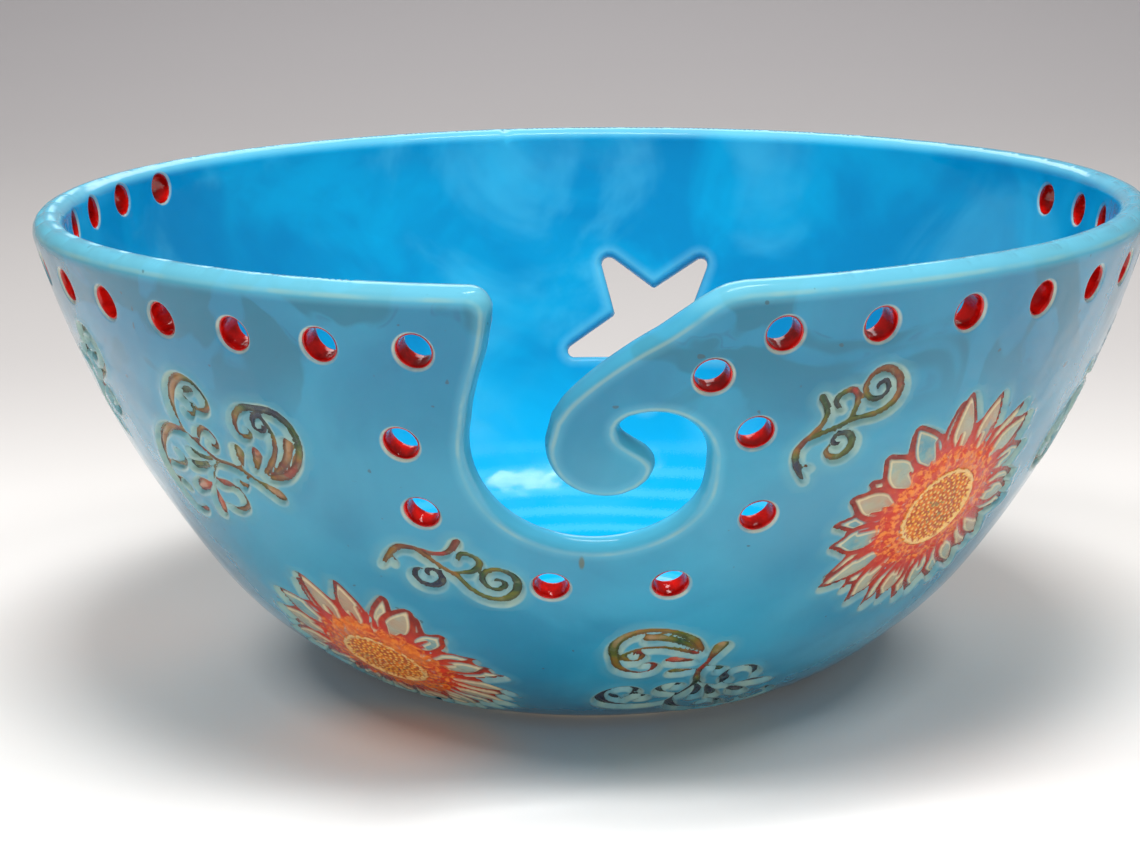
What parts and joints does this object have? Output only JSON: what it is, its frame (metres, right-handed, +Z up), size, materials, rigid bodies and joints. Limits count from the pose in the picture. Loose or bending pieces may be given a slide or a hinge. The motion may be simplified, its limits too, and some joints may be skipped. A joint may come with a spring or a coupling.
{
  "type": "yarn bowl",
  "caption": "Glazed ceramic yarn bowl with a swirl notch at the front, glazed holes under the rim, a star cut through the back and stamped motifs.",
  "frame": {"origin": "centre of the foot, on the surface that the bowl stands on", "axes": "+Z up, the yarn notch faces -Y, +X to the right of a person facing the notch"},
  "size_m": [0.21, 0.2088, 0.091],
  "materials": {
    "blue_glaze": "gloss",
    "bare_clay": "matte",
    "red_glaze": "gloss",
    "petal_glaze": "gloss",
    "seed_glaze": "gloss",
    "scroll_glaze": "gloss",
    "spray_glaze": "gloss"
  },
  "bodies": {
    "root": {"bowl_body": "blue_glaze", "foot_ring": "bare_clay", "rim_hole_linings_left": "red_glaze", "rim_hole_linings_right": "red_glaze", "swirl_hole_linings": "red_glaze", "sunflower_petals_front_right": "petal_glaze", "sunflower_disc_front_right": "seed_glaze", "sunflower_petals_front_left": "petal_glaze", "sunflower_disc_front_left": "seed_glaze", "sunflower_petals_back_right": "petal_glaze", "sunflower_disc_back_right": "seed_glaze", "sunflower_petals_back_left": "petal_glaze", "sunflower_disc_back_left": "seed_glaze", "scroll_front_left": "scroll_glaze", "scroll_front_bottom": "scroll_glaze", "scroll_right": "scroll_glaze", "scroll_back": "scroll_glaze", "spray_front_right": "spray_glaze", "spray_front_left": "spray_glaze", "spray_left": "spray_glaze", "spray_back_right": "spray_glaze", "spray_back_left": "spray_glaze"}
  },
  "joints": []
}
